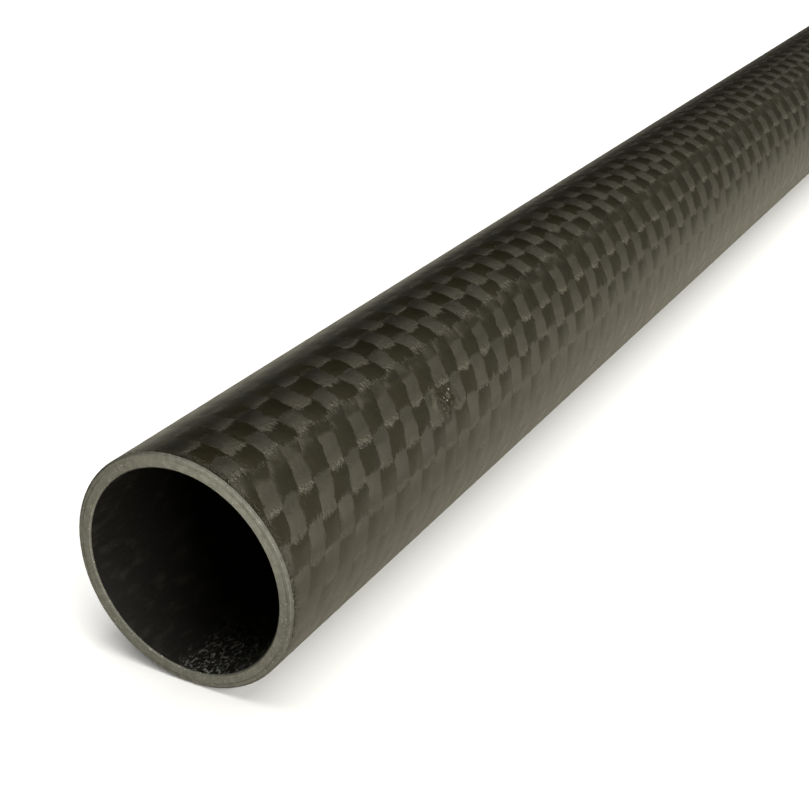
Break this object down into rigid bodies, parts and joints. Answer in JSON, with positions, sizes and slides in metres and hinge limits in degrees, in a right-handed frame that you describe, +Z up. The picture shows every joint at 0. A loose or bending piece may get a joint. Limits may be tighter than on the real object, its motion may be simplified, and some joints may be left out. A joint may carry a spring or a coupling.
{
  "type": "carbon fibre tube",
  "caption": "Round thin-walled carbon fibre tube with a plain woven outer ply, cut square at both ends; stock for rods, frames, arms and masts.",
  "frame": {"origin": "on the tube's axis, halfway along its length", "axes": "+X along the tube, from the cut end that the picture shows towards the far end; +Z up, with the tube lying on its side"},
  "size_m": [0.5, 0.016, 0.016],
  "materials": {
    "carbon_fibre": "satin"
  },
  "bodies": {
    "root": {"tube": "carbon_fibre"}
  },
  "joints": []
}
